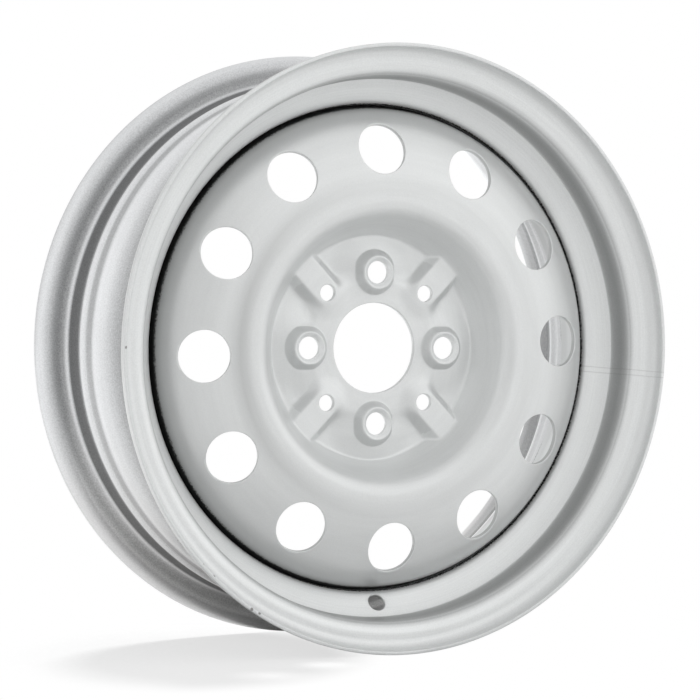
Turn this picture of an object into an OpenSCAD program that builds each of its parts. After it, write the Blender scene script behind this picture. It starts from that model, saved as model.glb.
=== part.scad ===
// Pressed steel road wheel, 14 inch by 5 J, with a welded-in ventilated disc.
// The axle is the Y axis, the outboard face looks along -Y and +Z is up.
// The origin is the centre of the rim, halfway between its flanges.
// Sections are drawn as the middle line of the sheet, in radius and distance outboard.

/* [Rim] */
// Diameter of the bead seats at the flanges
bead_seat_d = 354.8; // [345:0.1:380]
// Width between the flanges
rim_w = 127; // [115:0.5:140]
// Sheet thickness of the rim
rim_sheet = 2.3; // [1.8:0.1:2.8]
// Height of a flange above its bead seat
flange_h = 17.3; // [15:0.1:20]
// Reach of the lip beyond the flange
lip_reach = 11.6; // [10.5:0.1:14]
// Radius of the lip's curl, on the tyre side
lip_curl = 9.5; // [7:0.1:10]
// Radius in the heel of the bead seat, on the tyre side
heel_radius = 6.5; // [4:0.1:8]
// Width of a bead seat, from heel to toe
seat_w = 21.2; // [18:0.1:23]
// Slope of the bead seats
seat_slope = 5; // [3:0.5:7]
// Height of the humps above the toes
hump_h = 1.2; // [0.6:0.1:2]
// Depth of the well below the bead seats
well_depth = 17.6; // [15:0.1:20]
// Outboard end of the well's floor
well_front = 28.6; // [26:0.1:31]
// Inboard end of the well's floor
well_back = -2; // [-6:0.5:0]
// Drop of the ledge beside the well below the heel of the bead seat
ledge_drop = 3.6; // [2.5:0.1:5]
// Place of the ledge's edge
ledge_y = -24.5; // [-27:0.5:-22]

/* [Disc] */
// Sheet thickness of the disc
disc_sheet = 3.2; // [2.6:0.1:4]
// Offset of the hub face from the rim's centre, outboard
hub_offset = 23; // [20:0.5:28]
// Rise of the plate round the bore above the hub ring
plate_rise = 3.4; // [1:0.1:4]
// Outer radius of the raised plate
plate_r = 44; // [40:0.5:46]
// Inner radius of the flat hub ring
ring_r = 57.5; // [55:0.5:60]
// Radius where the hub ring turns up into the hat
hat_foot_r = 73.1; // [71:0.1:75]
// Radius of the hat's top corner
hat_top_r = 89.3; // [86:0.1:92]
// Height of the hat above the hub ring
hat_h = 26.8; // [24:0.1:29]
// Bend radius at the hat's foot
hat_foot_bend = 4.6; // [3.5:0.1:7]
// Bend radius at the hat's top
hat_top_bend = 10.4; // [8:0.1:12]
// Slope that the crown reaches at the shoulder
crown_slope = 21; // [17:0.5:24]
// Bend radius of the shoulder
shoulder_bend = 24; // [16:0.5:25]
// Inboard end of the skirt
skirt_end = 8; // [6:0.5:11]

/* [Hub] */
// Diameter of the centre bore
bore_d = 58.6; // [54:0.1:60]
// Diameter of the bolt circle
bolt_circle_d = 98; // [95:0.5:101]
// Number of bolts
bolt_count = 4; // [3:1:5]
// Diameter of the bolt holes
bolt_hole_d = 14.6; // [12:0.1:15]
// Diameter of the tapered seat at a boss's crest
bolt_seat_d = 20.4; // [18:0.1:21]
// Depth of the tapered seat
bolt_seat_depth = 1.9; // [1.5:0.1:3]
// Diameter of a boss at its crest
boss_d = 21.6; // [21:0.1:24]
// Height of the bosses above the hub ring
boss_h = 10; // [8:0.1:11]
// Slope of the bosses' sides
boss_slope = 60; // [52:1:66]
// Diameter of the pilot holes' circle
pilot_circle_d = 100.2; // [96:0.1:104]
// Diameter of the pilot holes
pilot_hole_d = 10.6; // [8:0.1:12]
// Width of the flat top of a pilot pad
pad_w = 17; // [15:0.5:20]
// Height of the pads above the hub ring
pad_h = 7; // [5:0.1:8]
// Slope of the pads' sides
pad_slope = 56; // [45:1:64]

/* [Holes in the crown and rim] */
// Number of vents
vent_count = 12; // [6:1:14]
// Diameter of the vents
vent_d = 33.2; // [24:0.1:36]
// Diameter of the vents' circle
vent_circle_d = 256.4; // [246:0.1:260]
// Turn of the first vent past the top, clockwise from the front
vent_turn = -2.2; // [-15:0.1:15]
// Diameter of the valve hole
valve_hole_d = 11.4; // [8:0.1:13]
// Place of the valve hole, clockwise from the top
valve_turn = 179.4; // [0:0.1:360]
// Share of the well's front wall below the valve hole
valve_share = 0.42; // [0.35:0.01:0.6]

/* [Welds] */
// Number of weld beads between the disc and the rim
weld_count = 8; // [4:1:12]
// Length of a bead round the wheel, in degrees
weld_angle = 22; // [10:1:28]
// Leg of a bead
weld_leg = 3; // [2:0.1:3.2]

/* [Hidden] */
$fn = 96;
// Turn of each flat across a bend
bend_step = 9;

hump_bend = 2.5;
hump_reach = 3;
hump_foot = 4;
hump_foot_rise = 0.6;
well_front_bend = 6;
well_back_bend = 18;
ledge_bend = 7;

bead_r = bead_seat_d / 2;
lip_r = bead_r + flange_h - rim_sheet / 2;
flange_y = rim_w / 2 + rim_sheet / 2;
lip_y = rim_w / 2 + lip_reach;
heel_r = bead_r - rim_sheet / 2;
toe_y = flange_y - seat_w;
toe_r = heel_r - seat_w * tan(seat_slope);
hump_y = toe_y - hump_reach;
hump_r = toe_r + hump_h;
hump_foot_y = hump_y - hump_foot;
well_r = bead_r - well_depth - rim_sheet / 2;
ledge_r = heel_r - ledge_drop;
curl_bend = lip_curl - rim_sheet / 2;
heel_bend = heel_radius + rim_sheet / 2;
// Corners of the rim's section from the outboard lip, each with its bend radius
rim_path = [
    [lip_r, lip_y, 0],
    [lip_r, flange_y, curl_bend],
    [heel_r, flange_y, heel_bend],
    [toe_r, toe_y, hump_bend],
    [hump_r, hump_y, hump_bend],
    [well_r, well_front, well_front_bend],
    [well_r, well_back, well_back_bend],
    [ledge_r, ledge_y, ledge_bend],
    [ledge_r + hump_foot_rise, -hump_foot_y, hump_bend],
    [hump_r, -hump_y, hump_bend],
    [toe_r, -toe_y, hump_bend],
    [heel_r, -flange_y, heel_bend],
    [lip_r, -flange_y, curl_bend],
    [lip_r, -lip_y, 0]
];

skirt_r = well_r - rim_sheet / 2;
skirt_mid_r = skirt_r - disc_sheet / 2;
ring_y = hub_offset + disc_sheet / 2;
crown_y = ring_y + hat_h;
wall_slope = atan2(hat_h, hat_top_r - hat_foot_r);
plate_bend = 15;
ring_bend = 12;
// The crown's long bend fills what the hat's top leaves
crown_start_r = hat_top_r + hat_top_bend * tan(wall_slope / 2);
crown_corner_r = hat_top_r + 0.43 * (skirt_mid_r - hat_top_r);
crown_bend = 0.98 * (crown_corner_r - crown_start_r) / tan(crown_slope / 2);
shoulder_y = crown_y - (skirt_mid_r - crown_corner_r) * tan(crown_slope);
// Corners of the disc's section from the axle, each with its bend radius
disc_path = [
    [0, ring_y + plate_rise, 0],
    [plate_r, ring_y + plate_rise, plate_bend],
    [ring_r, ring_y, ring_bend],
    [hat_foot_r, ring_y, hat_foot_bend],
    [hat_top_r, crown_y, hat_top_bend],
    [crown_corner_r, crown_y, crown_bend],
    [skirt_mid_r, shoulder_y, shoulder_bend],
    [skirt_mid_r, skirt_end, 0]
];
front_y = ring_y + disc_sheet / 2;
boss_y = front_y + boss_h;
pad_y = front_y + pad_h;
vent_slope = asin((vent_circle_d / 2 - crown_start_r) / crown_bend);
vent_y = crown_y - crown_bend * (1 - cos(vent_slope));
hat_clear_r = hat_foot_r + 8;

function unit(v) = v / norm(v);
function left(v) = [-v[1], v[0]];
function turned(v, a) = [v[0] * cos(a) - v[1] * sin(a), v[0] * sin(a) + v[1] * cos(a)];
function flat(p) = [p[0], p[1]];
// Points along the bend at corner b, each with the sheet's normal there
function bend(a, b, c) =
    let (
        along = unit(flat(b) - flat(a)),
        next = unit(flat(c) - flat(b)),
        turn = atan2(cross(along, next), along * next),
        side = sign(turn),
        start = flat(b) - along * b[2] * tan(abs(turn) / 2),
        centre = start + left(along) * b[2] * side,
        steps = ceil(abs(turn) / bend_step)
    )
    [for (i = [0:steps])
        let (normal = turned(left(along), turn * i / steps))
        [centre - normal * b[2] * side, normal]];
// Points along a whole path, with its two free ends
function stations(path) =
    let (last = len(path) - 1)
    concat(
        [[flat(path[0]), left(unit(flat(path[1]) - flat(path[0])))]],
        [for (i = [1:last - 1]) each bend(path[i - 1], path[i], path[i + 1])],
        [[flat(path[last]), left(unit(flat(path[last]) - flat(path[last - 1])))]]
    );
// One face of a sheet that follows the path, at a distance from its middle line
function sheet_face(path, away) = [for (s = stations(path)) s[0] + s[1] * away];
function reversed(list) = [for (i = [len(list) - 1:-1:0]) list[i]];

// Turns the section's frame into the wheel's frame
module on_axle() { rotate([90, 0, 0]) children(); }

// Places a child at a clock angle, seen from the front, and a radius
module at_clock(turn, radius) {
    rotate([0, 0, -turn]) translate([0, radius, 0]) children();
}

module valve_hole() {
    wall = unit([hump_r - well_r, hump_y - well_front]);
    place = [well_r, well_front] + wall * norm([hump_r - well_r, hump_y - well_front]) * valve_share;
    at_clock(valve_turn, place[0])
        translate([0, 0, place[1]])
            rotate([atan2(wall[1], wall[0]), 0, 0])
                cylinder(d = valve_hole_d, h = 24, center = true);
}

// Rolled and butt-welded band with two flanges, humps and a drop well
module rim() {
    color("silver") on_axle() difference() {
        rotate_extrude() polygon(concat(
            sheet_face(rim_path, rim_sheet / 2),
            reversed(sheet_face(rim_path, -rim_sheet / 2))
        ));
        valve_hole();
    }
}

// Body with sloping sides round a pilot hole that runs out into the hat's wall
module pad_body(top_w, top_y, base_y) {
    spread = (top_y - base_y) / tan(pad_slope);
    translate([0, 0, base_y])
        cylinder(r1 = top_w / 2 + spread, r2 = top_w / 2, h = top_y - base_y);
    rotate([-90, 0, 0]) linear_extrude(hat_clear_r - pilot_circle_d / 2) polygon([
        [-top_w / 2 - spread, -base_y],
        [top_w / 2 + spread, -base_y],
        [top_w / 2, -top_y],
        [-top_w / 2, -top_y]
    ]);
}

// Cone of a bolt boss, from its crest down to a base
module boss_body(top_d, top_y, base_y) {
    spread = (top_y - base_y) / tan(boss_slope);
    translate([0, 0, base_y])
        cylinder(r1 = top_d / 2 + spread, r2 = top_d / 2, h = top_y - base_y);
}

// Everything behind one face of the disc's sheet, down to a base
module disc_side(away, base_y) {
    face = sheet_face(disc_path, away);
    edge_r = face[len(face) - 1][0];
    inset = disc_sheet / 2 - away;
    pad_narrow = inset * (1 / sin(pad_slope) - 1 / tan(pad_slope));
    boss_narrow = inset * (1 / sin(boss_slope) - 1 / tan(boss_slope));
    rotate_extrude() polygon(concat([[0, base_y]], face, [[edge_r, base_y]]));
    for (i = [0:bolt_count - 1]) {
        at_clock(i * 360 / bolt_count, bolt_circle_d / 2)
            boss_body(boss_d - 2 * boss_narrow, boss_y - inset * 1.3, skirt_end + 4);
        at_clock((i + 0.5) * 360 / bolt_count, pilot_circle_d / 2)
            pad_body(pad_w - 2 * pad_narrow, pad_y - inset, skirt_end + 4);
    }
}

module hub_holes() {
    cylinder(d = bore_d, h = 100);
    for (i = [0:bolt_count - 1]) {
        at_clock(i * 360 / bolt_count, bolt_circle_d / 2) {
            cylinder(d = bolt_hole_d, h = 100);
            translate([0, 0, boss_y - bolt_seat_depth])
                cylinder(d1 = bolt_hole_d, d2 = bolt_seat_d, h = bolt_seat_depth);
        }
        at_clock((i + 0.5) * 360 / bolt_count, pilot_circle_d / 2)
            cylinder(d = pilot_hole_d, h = 100);
    }
}

module vents() {
    for (i = [0:vent_count - 1])
        at_clock(vent_turn + i * 360 / vent_count, vent_circle_d / 2)
            translate([0, 0, vent_y])
                rotate([-vent_slope, 0, 0])
                    cylinder(d = vent_d, h = 40, center = true);
}

// Pressed disc: skirt, crown with vents, hat, and hub plate with bosses and pads
module disc() {
    color("silver") on_axle() difference() {
        disc_side(disc_sheet / 2, skirt_end);
        disc_side(-disc_sheet / 2, skirt_end - 1);
        hub_holes();
        vents();
    }
}

// Fillet welds between the skirt's edge and the floor of the well
module weld_beads() {
    color("gray") on_axle() for (i = [0:weld_count - 1])
        rotate([0, 0, i * 360 / weld_count])
            rotate_extrude(angle = weld_angle) polygon([
                [skirt_r, skirt_end],
                [skirt_r, skirt_end - weld_leg],
                [skirt_r - weld_leg * 0.72, skirt_end - weld_leg * 0.72],
                [skirt_r - weld_leg, skirt_end]
            ]);
}

rim();
disc();
weld_beads();
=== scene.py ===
import math

import bmesh
import bpy
import numpy as np
from mathutils import Matrix, Vector
from mathutils.geometry import delaunay_2d_cdt


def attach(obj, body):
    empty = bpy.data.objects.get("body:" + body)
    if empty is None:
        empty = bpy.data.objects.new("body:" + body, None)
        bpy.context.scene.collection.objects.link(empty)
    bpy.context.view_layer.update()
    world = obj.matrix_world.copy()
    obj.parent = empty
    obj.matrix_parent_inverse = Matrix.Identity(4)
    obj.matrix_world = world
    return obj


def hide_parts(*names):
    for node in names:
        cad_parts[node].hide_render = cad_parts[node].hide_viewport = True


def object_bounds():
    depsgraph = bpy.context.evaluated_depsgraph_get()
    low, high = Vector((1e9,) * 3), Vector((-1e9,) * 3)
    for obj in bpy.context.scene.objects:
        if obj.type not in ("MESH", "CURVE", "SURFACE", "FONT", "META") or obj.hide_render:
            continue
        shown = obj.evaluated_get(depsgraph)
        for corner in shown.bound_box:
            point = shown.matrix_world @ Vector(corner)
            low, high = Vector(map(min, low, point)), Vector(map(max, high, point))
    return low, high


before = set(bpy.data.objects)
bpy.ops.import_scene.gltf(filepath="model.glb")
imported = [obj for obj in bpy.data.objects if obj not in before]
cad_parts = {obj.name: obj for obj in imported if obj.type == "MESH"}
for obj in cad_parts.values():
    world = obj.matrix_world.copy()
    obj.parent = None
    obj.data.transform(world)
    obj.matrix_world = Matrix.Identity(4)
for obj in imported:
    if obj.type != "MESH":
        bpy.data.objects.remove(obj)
cadBox = [list(corner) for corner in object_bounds()]
scene = bpy.context.scene
mm = 0.001
joinGap = 1e-6    # metres, points closer than this are one
print("frame loaded:", sorted(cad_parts))

# camera, as solved from the four bolt holes
view = {
    "place": (-0.9297, -1.8195, 0.0415),
    "look": (0.45409, 0.89070, -0.02135),
    "up": (0.0, 0.02396, 0.99971),
    "lens": 159.9,
    "sensor": 36.0,
    "clip": (0.05, 60.0),
}


def addCamera():
    data = bpy.data.cameras.new("photoCamera")
    data.lens = view["lens"]
    data.sensor_width = view["sensor"]
    data.clip_start, data.clip_end = view["clip"]
    camera = bpy.data.objects.new("photoCamera", data)
    back = -Vector(view["look"]).normalized()
    right = Vector(view["up"]).cross(back).normalized()
    up = back.cross(right)
    turn = Matrix((right, up, back)).transposed().to_4x4()
    camera.matrix_world = Matrix.Translation(view["place"]) @ turn
    scene.collection.objects.link(camera)
    scene.camera = camera


# lamps: place, aim, size in metres, watts
studio = {
    "lamps": {
        "shadowLamp": ((0.15, 1.65, 2.2), (-0.1, -0.05, -0.19), 0.55, 100),
    },
    "room": 0.855,                     # white walls round the set
    "walls": [                         # direction of a wall, cosines at its edge and its middle, gain
        ((-0.10, -0.99, 0.0), (0.86, 0.965), 0.45),    # unlit part, before the wheel
        ((0.56, -0.82, 0.0), (0.35, 0.9), 1.7),        # the soft light falls here
        ((-1.0, -0.15, 0.1), (0.55, 0.95), 1.35),      # a pale wall on the left
    ],
    "floorHalf": 14.0,
    "floorGlow": 0.67,                 # what the camera sees of the floor beside its colour
    "floorColour": (0.60, 0.75),       # near the wheel, under the lamp, and far from it
    "floorSeen": 0.30,                 # share of it that the camera sees
    "floorReach": (0.5, 2.0),
    "floorCentre": (-0.13, -0.03),     # middle of the shadow, its direction and its size
    "floorWay": (-0.5, -0.866),
    "floorSize": (0.17, 0.115),
    "floorFade": (0.75, 1.1),
}


def addLamps(floor):
    # the lamp behind lights the floor alone, and the wheel blocks it
    onFloor = bpy.data.collections.new("floorLight")
    onFloor.objects.link(floor)
    for name, (place, aim, size, watts) in studio["lamps"].items():
        data = bpy.data.lights.new(name, "AREA")
        data.shape = "DISK"
        data.size = size
        data.energy = watts
        lamp = bpy.data.objects.new(name, data)
        lamp.location = place
        lamp.rotation_euler = (Vector(aim) - Vector(place)).to_track_quat("-Z", "Y").to_euler()
        lamp.light_linking.receiver_collection = onFloor
        scene.collection.objects.link(lamp)


def joinValue(tree, value, socket):
    if isinstance(value, bpy.types.NodeSocket):
        tree.links.new(value, socket)
    else:
        socket.default_value = value


def mathOf(tree, operation, *values):
    node = tree.nodes.new("ShaderNodeMath")
    node.operation = operation
    for socket, value in zip(node.inputs, values):
        joinValue(tree, value, socket)
    return node.outputs[0]


def vectorOf(tree, operation, *values):
    node = tree.nodes.new("ShaderNodeVectorMath")
    node.operation = operation
    for socket, value in zip(node.inputs, values):
        joinValue(tree, value, socket)
    return node.outputs["Vector" if operation == "SUBTRACT" else "Value"]


def rangeOf(tree, value, low, high, outLow=0.0, outHigh=1.0):
    node = tree.nodes.new("ShaderNodeMapRange")
    node.interpolation_type = "SMOOTHSTEP"
    for label, given in (("Value", value), ("From Min", low), ("From Max", high),
                         ("To Min", outLow), ("To Max", outHigh)):
        joinValue(tree, given, node.inputs[label])
    return node.outputs[0]


def noiseOf(tree, vector, scale, detail, rough):
    node = tree.nodes.new("ShaderNodeTexNoise")
    tree.links.new(vector, node.inputs["Vector"])
    for label, given in (("Scale", scale), ("Detail", detail), ("Roughness", rough)):
        joinValue(tree, given, node.inputs[label])
    return node.outputs["Fac"]


def mixColour(tree, share, first, second, blend="MIX"):
    node = tree.nodes.new("ShaderNodeMix")
    node.data_type = "RGBA"
    node.blend_type = blend
    joinValue(tree, share, node.inputs["Factor"])
    joinValue(tree, first, node.inputs[6])
    joinValue(tree, second, node.inputs[7])
    return node.outputs[2]


def tinted(tree, shade, tint, share=1.0):
    return mixColour(tree, share, shade, tint, "MULTIPLY")


def addWorld():
    world = bpy.data.worlds.new("studioRoom")
    world.use_nodes = True
    tree = world.node_tree
    ground = tree.nodes["Background"]
    path = tree.nodes.new("ShaderNodeLightPath")
    seen = mathOf(tree, "MAXIMUM", path.outputs["Is Camera Ray"], path.outputs["Is Transmission Ray"])
    way = tree.nodes.new("ShaderNodeTexCoord").outputs["Generated"]
    room = studio["room"]
    for side, edge, gain in studio["walls"]:
        aim = vectorOf(tree, "DOT_PRODUCT", way, Vector(side).normalized())
        room = mathOf(tree, "MULTIPLY", room, rangeOf(tree, aim, *edge, 1.0, gain))
    strength = mathOf(tree, "MAXIMUM", seen, room)
    ground.inputs["Color"].default_value = (1, 1, 1, 1)
    tree.links.new(strength, ground.inputs["Strength"])
    scene.world = world


def addFloor():
    low = cadBox[0][2]
    mesh = bpy.data.meshes.new("studioFloor")
    size = studio["floorHalf"]
    mesh.from_pydata([(-size, -size, low), (size, -size, low), (size, size, low), (-size, size, low)],
                     [], [(0, 1, 2, 3)])
    floor = bpy.data.objects.new("studioFloor", mesh)
    scene.collection.objects.link(floor)
    paint = bpy.data.materials.new("studioFloor")
    paint.use_nodes = True
    tree = paint.node_tree
    tree.nodes.clear()
    out = tree.nodes.new("ShaderNodeOutputMaterial")
    matte = tree.nodes.new("ShaderNodeBsdfDiffuse")
    where = tree.nodes.new("ShaderNodeTexCoord").outputs["Object"]

    def floorPart(way, reach):
        # distance from the middle of the shadow along one way, as a share of its reach
        gap = vectorOf(tree, "SUBTRACT", where, (*studio["floorCentre"], low))
        part = vectorOf(tree, "DOT_PRODUCT", gap, Vector((*way, 0)).normalized() / reach)
        return mathOf(tree, "POWER", mathOf(tree, "ABSOLUTE", part), 2.0)

    away = vectorOf(tree, "LENGTH", where)
    grey = rangeOf(tree, away, *studio["floorReach"], *studio["floorColour"])
    path = tree.nodes.new("ShaderNodeLightPath")
    seen = mathOf(tree, "MULTIPLY_ADD", path.outputs["Is Camera Ray"], studio["floorSeen"] - 1.0, 1.0)
    tree.links.new(mathOf(tree, "MULTIPLY", grey, seen), matte.inputs["Color"])
    glow = tree.nodes.new("ShaderNodeEmission")
    tree.links.new(mathOf(tree, "MULTIPLY", path.outputs["Is Camera Ray"], studio["floorGlow"]),
                   glow.inputs["Strength"])
    both = tree.nodes.new("ShaderNodeAddShader")
    tree.links.new(matte.outputs[0], both.inputs[0])
    tree.links.new(glow.outputs[0], both.inputs[1])
    # the floor runs out into plain white away from the wheel
    along = studio["floorWay"]
    aside = (along[1], -along[0])
    length, width = studio["floorSize"]
    oval = mathOf(tree, "SQRT", mathOf(tree, "ADD", floorPart(along, length), floorPart(aside, width)))
    fade = rangeOf(tree, oval, *studio["floorFade"])
    white = tree.nodes.new("ShaderNodeEmission")
    mix = tree.nodes.new("ShaderNodeMixShader")
    tree.links.new(mathOf(tree, "MULTIPLY", fade, path.outputs["Is Camera Ray"]), mix.inputs[0])
    tree.links.new(both.outputs[0], mix.inputs[1])
    tree.links.new(white.outputs[0], mix.inputs[2])
    tree.links.new(mix.outputs[0], out.inputs["Surface"])
    mesh.materials.append(paint)
    return floor


addCamera()
addLamps(addFloor())
addWorld()
scene.view_settings.view_transform = "Standard"
print("camera, lamps and floor placed")


# node trees: an input is a name, a socket type and a value, an output is a name and a socket type
def newTree(kind, name, inputs, outputs):
    tree = bpy.data.node_groups.new(name, kind)
    for label, socketType, value in inputs:
        socket = tree.interface.new_socket(label, in_out="INPUT", socket_type=socketType)
        if value is not None:
            socket.default_value = value
    for label, socketType in outputs:
        tree.interface.new_socket(label, in_out="OUTPUT", socket_type=socketType)
    return tree, tree.nodes.new("NodeGroupInput"), tree.nodes.new("NodeGroupOutput")


# shared paint effects, each one shader group; a noise is its scale, detail and roughness
effectSizes = {
    "cloud": (24.0, 4.0, 0.6),         # patches of a few centimetres
    "flake": (1500.0, 1.0, 0.6),       # metal flake in the paint
    "peel": (420.0, 2.0, 0.5),         # orange peel
    "cloudRough": 1.2,
    "flakeHeight": 0.3,
    "streak": (1.0, 2.0, 0.6),
    "streakTurn": 2.5,                 # low, so that a streak runs far round the wheel
    "streakShift": 40.0,
    "ragged": (900.0, 2.0, 0.6),       # edge of a nick
    "raggedLeast": 0.4,
    "nickEdge": (0.7, 1.15),
}


def sprayedPaintGroup():
    tree, given, put = newTree(
        "ShaderNodeTree", "sprayedPaint",
        [("Place", "NodeSocketVector", None), ("Colour", "NodeSocketColor", (0.6, 0.6, 0.6, 1)),
         ("Mottle", "NodeSocketFloat", 0.06), ("Flake", "NodeSocketFloat", 0.1),
         ("Roughness", "NodeSocketFloat", 0.42)],
        [("Colour", "NodeSocketColor"), ("Roughness", "NodeSocketFloat"), ("Height", "NodeSocketFloat")])
    cloud, flake, peel = (noiseOf(tree, given.outputs["Place"], *effectSizes[name])
                          for name in ("cloud", "flake", "peel"))
    cloudPart = mathOf(tree, "MULTIPLY", mathOf(tree, "SUBTRACT", cloud, 0.5), given.outputs["Mottle"])
    flakePart = mathOf(tree, "MULTIPLY", mathOf(tree, "SUBTRACT", flake, 0.5), given.outputs["Flake"])
    gain = mathOf(tree, "ADD", 1.0, mathOf(tree, "ADD", cloudPart, flakePart))
    scale = tree.nodes.new("ShaderNodeVectorMath")
    scale.operation = "SCALE"
    tree.links.new(given.outputs["Colour"], scale.inputs[0])
    tree.links.new(gain, scale.inputs["Scale"])
    tree.links.new(scale.outputs[0], put.inputs["Colour"])
    shift = mathOf(tree, "MULTIPLY_ADD", cloudPart, effectSizes["cloudRough"], given.outputs["Roughness"])
    tree.links.new(mathOf(tree, "ADD", shift, flakePart), put.inputs["Roughness"])
    height = mathOf(tree, "MULTIPLY_ADD", flake, effectSizes["flakeHeight"], peel)
    tree.links.new(height, put.inputs["Height"])
    return tree


def roundPlaceGroup():
    # radius from the axle, distance outboard and turn round the axle
    tree, given, put = newTree(
        "ShaderNodeTree", "roundPlace", [("Place", "NodeSocketVector", None)],
        [("Radius", "NodeSocketFloat"), ("Outboard", "NodeSocketFloat"), ("Turn", "NodeSocketFloat")])
    part = tree.nodes.new("ShaderNodeSeparateXYZ")
    tree.links.new(given.outputs["Place"], part.inputs[0])
    x, y, z = part.outputs
    square = mathOf(tree, "ADD", mathOf(tree, "MULTIPLY", x, x), mathOf(tree, "MULTIPLY", z, z))
    tree.links.new(mathOf(tree, "SQRT", square), put.inputs["Radius"])
    tree.links.new(mathOf(tree, "MULTIPLY", y, -1.0), put.inputs["Outboard"])
    tree.links.new(mathOf(tree, "ARCTAN2", x, z), put.inputs["Turn"])
    return tree


def rollMarksGroup():
    # fine lines that run round the wheel, left by rolling and by tyre tools
    tree, given, put = newTree(
        "ShaderNodeTree", "rollMarks",
        [("Radius", "NodeSocketFloat", 0.1), ("Outboard", "NodeSocketFloat", 0.0),
         ("Turn", "NodeSocketFloat", 0.0), ("Fineness", "NodeSocketFloat", 900.0)],
        [("Streak", "NodeSocketFloat")])
    across = mathOf(tree, "ADD", given.outputs["Radius"], given.outputs["Outboard"])
    fine = mathOf(tree, "MULTIPLY", across, given.outputs["Fineness"])
    spot = tree.nodes.new("ShaderNodeCombineXYZ")
    tree.links.new(mathOf(tree, "ADD", fine, effectSizes["streakShift"]), spot.inputs[0])
    for number, wave in ((1, "SINE"), (2, "COSINE")):
        ring = mathOf(tree, wave, given.outputs["Turn"])
        tree.links.new(mathOf(tree, "MULTIPLY", ring, effectSizes["streakTurn"]), spot.inputs[number])
    tree.links.new(noiseOf(tree, spot.outputs[0], *effectSizes["streak"]), put.inputs["Streak"])
    return tree


def paintNickGroup():
    # one small mark at a place on the surface, with a ragged edge
    tree, given, put = newTree(
        "ShaderNodeTree", "paintNick",
        [("Place", "NodeSocketVector", None), ("Centre", "NodeSocketVector", None),
         ("Size", "NodeSocketFloat", 0.001)],
        [("Mask", "NodeSocketFloat")])
    gap = vectorOf(tree, "DISTANCE", given.outputs["Place"], given.outputs["Centre"])
    ragged = noiseOf(tree, given.outputs["Place"], *effectSizes["ragged"])
    wide = mathOf(tree, "ADD", ragged, effectSizes["raggedLeast"])
    near = mathOf(tree, "DIVIDE", gap, mathOf(tree, "MULTIPLY", given.outputs["Size"], wide))
    tree.links.new(rangeOf(tree, near, *effectSizes["nickEdge"], 1.0, 0.0), put.inputs["Mask"])
    return tree


effects = {
    "paint": sprayedPaintGroup(),
    "round": roundPlaceGroup(),
    "marks": rollMarksGroup(),
    "nick": paintNickGroup(),
}


def useGroup(tree, name, **values):
    node = tree.nodes.new("ShaderNodeGroup")
    node.node_tree = effects[name]
    for label, value in values.items():
        joinValue(tree, value, node.inputs[label])
    return node


def inMm(values):
    return [value * mm for value in values]


def onWheel(clock, radius, outboard):
    turn = math.radians(clock)
    return (radius * math.sin(turn) * mm, -outboard * mm, radius * math.cos(turn) * mm)


silver = {
    "colour": (0.69, 0.702, 0.70, 1),
    "metallic": 0.4,
    "roughness": 0.42,
    "mottle": 0.07,
    "flake": 0.12,
    "bump": 0.12,
    "bumpDepth": 0.4,                  # mm
    # painted shade of the joint between rim and disc
    "jointShade": (0.012, 0.012, 0.012, 1),
    "bareSteel": (0.16, 0.155, 0.15, 1),
}


def paintedSteel(name, colour, roughness):
    paint = bpy.data.materials.new(name)
    paint.use_nodes = True
    tree = paint.node_tree
    shader = tree.nodes["Principled BSDF"]
    where = tree.nodes.new("ShaderNodeTexCoord").outputs["Object"]
    spray = useGroup(tree, "paint", Place=where, Colour=colour, Mottle=silver["mottle"],
                     Flake=silver["flake"], Roughness=roughness)
    bump = tree.nodes.new("ShaderNodeBump")
    bump.inputs["Strength"].default_value = silver["bump"]
    bump.inputs["Distance"].default_value = silver["bumpDepth"] * mm
    tree.links.new(spray.outputs["Height"], bump.inputs["Height"])
    tree.links.new(bump.outputs[0], shader.inputs["Normal"])
    shader.inputs["Metallic"].default_value = silver["metallic"]
    tree.links.new(spray.outputs["Roughness"], shader.inputs["Roughness"])
    return paint, tree, shader, where, spray


def toneOf(tree):
    tone = tree.nodes.new("ShaderNodeAttribute")
    tone.attribute_name = "tone"
    return tone.outputs["Fac"]


# coat of the rim, in mm where not said otherwise
rimCoat = {
    "streak": (0.14, 0.93),            # share of the rolled lines, and the tone without them
    "grain": (1100.0, 1.0, 0.5),
    "grainByTone": (-0.9, 1.3),        # grains show more where the tone, the painted shade, is darker
    "grainByPlace": (0.65, 0.35),      # and more on the barrel than on the front wall
    "barrelEnd": (18.0, 28.0),         # outboard, where the barrel passes into the front wall
    # painted cool tint, standing in for the cool reflection in the barrel's shade
    "barrelShadeTint": (0.982, 0.977, 0.993, 1),
    "lowTint": (0.89, 0.875, 0.86, 1),    # darker and warmer towards the bottom of the barrel
    "lowTintHeight": (-150.0, -30.0),
    "lowTintShare": 0.9,
    "jointShadePlace": (157.0, 28.0),        # radius and outboard of the joint with the disc
    "jointShadeReach": (0.8, 1.8),
    "jointShadeRagged": 2.0,
    "nickShare": 0.8,
}

# nicks of the lip: clock in degrees, radius, outboard, size in mm
lipNicks = [
    (226.6, 191.8, 75.0, 1.2), (223.5, 192.2, 75.0, 1.1), (213.5, 193.6, 75.0, 1.3),
    (211.7, 193.0, 75.0, 1.1), (336.4, 184.2, 67.0, 1.1), (270.4, 193.0, 75.0, 1.0),
]

# butt weld of the band: clock in degrees, half the gap between its lines, their edge in mm, their strength
weldLine = {"clock": 95.0, "half": 1.75, "edge": (0.15, 0.5), "depth": 0.2, "facing": (0.0, 0.2)}
# painted light of the floor's bounce: height and outboard in mm, the tones that it covers, and its gain
paintedBounceLight = {"height": (-120.0, -20.0), "outboard": (-64.0, -60.5), "tone": (0.65, 0.85),
             "gain": (1.75, 1.75, 1.74, 1)}
# rubbed patch: clock, radius and outboard of its middle, its size in mm, and its lines
rubbed = {"place": (212.5, 176.0, -27.0), "size": 34.0, "fineness": 1400.0, "lines": (0.5, 0.6),
          "depth": 0.55}


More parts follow.
